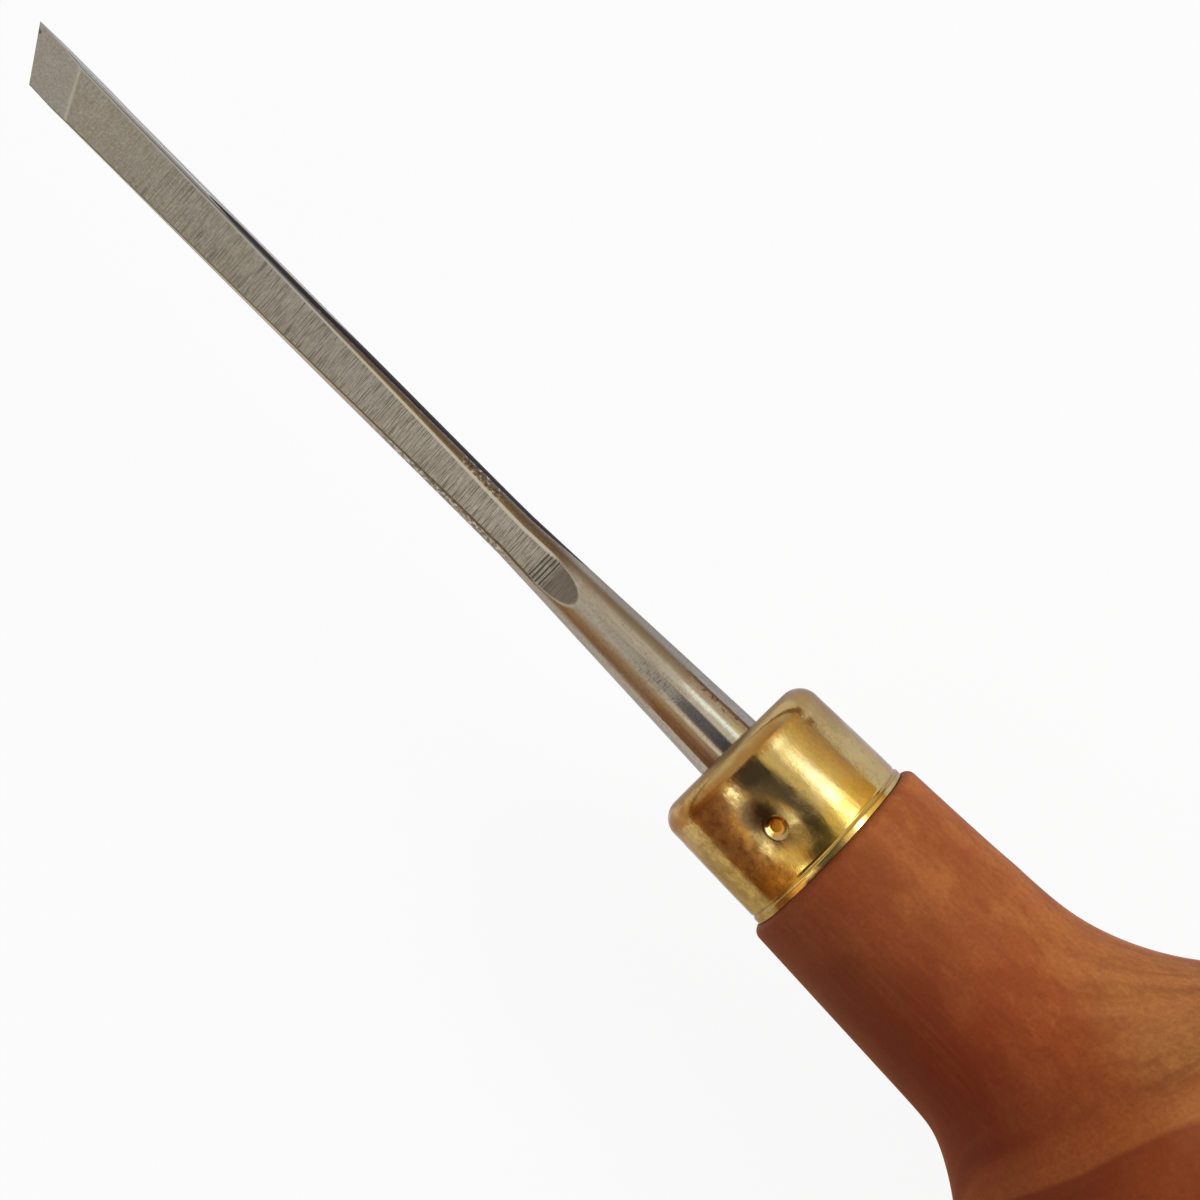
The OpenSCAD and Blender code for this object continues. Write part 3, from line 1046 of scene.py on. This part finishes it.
def cards():
    """Warm surroundings of the white table, low down on both sides, and shadow cards lying flat on the table
    that paint the tool's shadow there into what metal mirrors.
    """
    foot = CARD_FOOT
    card("near_window_card", LIGHT_WALL[0][1], (93, foot), (93, 4), (0, 600))
    card("far_window_card", (0.46, 0.31, 0.185), (260, foot), (260, 8), (-600, 0))
    card("dark_side_card", DARK_WALL[0][1], (-120, foot), (-120, 3))
    card("shadow_card", (0.91, 0.80, 0.65), (-14, foot), (-120, foot), (0, 600))
    card("shank_shadow_card", (0.77, 0.72, 0.71), (3.2, foot), (93, foot), (0, 24))
    card("ferrule_shadow_card", (0.74, 0.635, 0.39), (-14, foot), (-120, foot), (-600, 0))


def tent_colour(f):
    """Warm walls, a pale ceiling, a light end before the tool and a dark one behind it."""
    way = f.node("ShaderNodeVectorMath", {"operation": "NORMALIZE"}, {0: f.place()})
    over = f.towards(way, OVER)
    above = f.towards(way, BACK)
    ahead = f.towards(way, -ALONG)
    behind = f.towards(way, ALONG)
    low = f.ramp(above, 0.7, 0.4) * f.ramp(over, 0.4, 0.7)
    return f.coats(
        f.stops(above, DARK_WALL),
        (f.ramp(over, -0.2, 0.2), f.stops(above, LIGHT_WALL)),
        (f.ramp(ahead, 0.13, 0.19) * low, (0.62, 0.60, 0.57)),
        (f.ramp(ahead, 0.3, 0.55), (0.84, 0.77, 0.64)),
        (f.ramp(behind, 0.45, 0.7), (0.13, 0.08, 0.05)),
    )


def tent():
    """Room that polished metal mirrors."""
    mesh = bpy.data.meshes.new("tent")
    shape = bmesh.new()
    bmesh.ops.create_icosphere(shape, subdivisions=4, radius=TENT_R * MM)
    shape.to_mesh(mesh)
    shape.free()
    mesh.shade_smooth()
    mirrored("tent", mesh, tent_colour)


def screen_colour(f):
    """Window, dark middle and pale fill strip of the screen, which change along the tool."""
    p = f.place()
    x = f.part(p, "X")
    square = f.node("ShaderNodeVectorMath", {"operation": "MULTIPLY"}, {0: p, 1: (0, 1, 1)})
    way = f.node("ShaderNodeVectorMath", {"operation": "NORMALIZE"}, {0: square})
    over = f.towards(way, OVER)
    above = f.towards(way, BACK)
    at_shank = f.ramp(x, 7, 10)
    at_lip = f.ramp(x, -2.5, -6.0)
    at_handle = f.ramp(x, -10.0, -12.5)

    def strip(low, high, soft):
        """1 between two angles in degrees, with edges that are soft in the angle's sine."""
        low, high = (math.sin(math.radians(a)) for a in (low, high))
        return f.ramp(over, low - soft, low + soft) * f.ramp(over, high - soft, high + soft, 1.0, 0.0)

    window = f.tint(f.ramp(x, -6, 3), (5.2, 5.6, 6.0), (1.85, 1.85, 1.5))
    dark = f.tint(at_lip, (0.080, 0.070, 0.067), (0.19, 0.165, 0.14))
    dark = f.tint(at_shank, dark, (0.215, 0.19, 0.19))
    fill = f.coats(
        f.tint(at_lip, (1.75, 1.78, 1.45), (0.8, 0.8, 0.6)),
        (f.ramp(x, 0.6, 1.8), (0.75, 0.62, 0.33)),
        (f.ramp(x, -2.7, -1.5) * f.ramp(x, 1.6, 0.2), (3.2, 3.3, 2.9)),
        (f.ramp(x, 5.2, 6.5), (1.1, 0.98, 0.72)),
    )
    plain = f.stops(above, DARK_SCREEN)
    brassy = f.tint(at_lip, (0.73, 0.64, 0.74), (1.35, 1.35, 1.15))
    low = f.tint(at_shank, f.tint(1.0, plain, brassy, "MULTIPLY"), plain)
    high = f.tint(at_shank, f.stops(above, LIGHT_SCREEN), f.stops(above, SHANK_SCREEN))
    return f.coats(
        f.tint(f.ramp(over, -0.2, 0.2), low, high),
        (strip(-21, 15.5, 0.07), dark),
        (strip(-48, 0, 0.07) * at_handle, (0.09, 0.06, 0.042)),
        (strip(-38, -26, 0.06) * (1 - at_handle), fill),
        (strip(36, 50, 0.09), window),
    )


def screen():
    """Half-round screen over the ferrule and the polished end of the shank, with a window in it."""
    turns = np.radians(np.linspace(-88, 88, 45))
    out = [BACK * math.cos(a) + OVER * math.sin(a) for a in turns]
    points = [(way * SCREEN_R - ALONG * x) * MM for x in SCREEN_ENDS for way in out]
    count = len(turns)
    faces = [(i, i + 1, count + i + 1, count + i) for i in range(count - 1)]
    mesh = bpy.data.meshes.new("screen")
    mesh.from_pydata([tuple(point) for point in points], [], faces)
    mirrored("screen", mesh, screen_colour)


def lamp(name, way, distance, size, strength):
    """Square soft lamp, with lengths in metres, that shines from this way and isn't mirrored."""
    light = bpy.data.lights.new(name, "AREA")
    light.size = size
    light.energy = strength
    box = added(name, light)
    back = way.normalized()
    right = back.orthogonal().normalized()
    box.matrix_world = facing(right, back.cross(right), back, back * distance)
    box.visible_glossy = False


def light():
    """White surroundings, and a key and a fill lamp."""
    world = bpy.context.scene.world or bpy.data.worlds.new("world")
    bpy.context.scene.world = world
    world.use_nodes = True
    f = Finish(world.node_tree)
    level = f.ramp(seen(f), 0.0, 1.0, SKY_LIGHT, 1.0)
    sky = f.node("ShaderNodeBackground", {}, {"Color": (1, 1, 1, 1), "Strength": level})
    f.node("ShaderNodeOutputWorld", {}, {"Surface": sky})
    key_way = BACK * 0.62 + OVER * 0.68 + ALONG * 0.25
    fill_way = BACK * 0.7 - OVER * 0.5 - ALONG * 0.5
    lamp("key_lamp", key_way, distance=0.7, size=0.45, strength=3.4)
    lamp("fill_lamp", fill_way, distance=0.8, size=0.5, strength=0.5)


def place(piece, node, slot, finish):
    """Puts a finished piece where its plain counterpart was."""
    piece.data.materials.append(finish)
    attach(piece, "root")
    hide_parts(node)


camera()
floor()
tent()
screen()
cards()
light()
bpy.context.scene.view_settings.view_transform = "Standard"
place(blade_piece(), "blade", "blade_steel", steel())
place(ferrule_piece(), "ferrule", "ferrule_brass", brass())
place(handle_piece(), "handle", "handle_wood", wood())
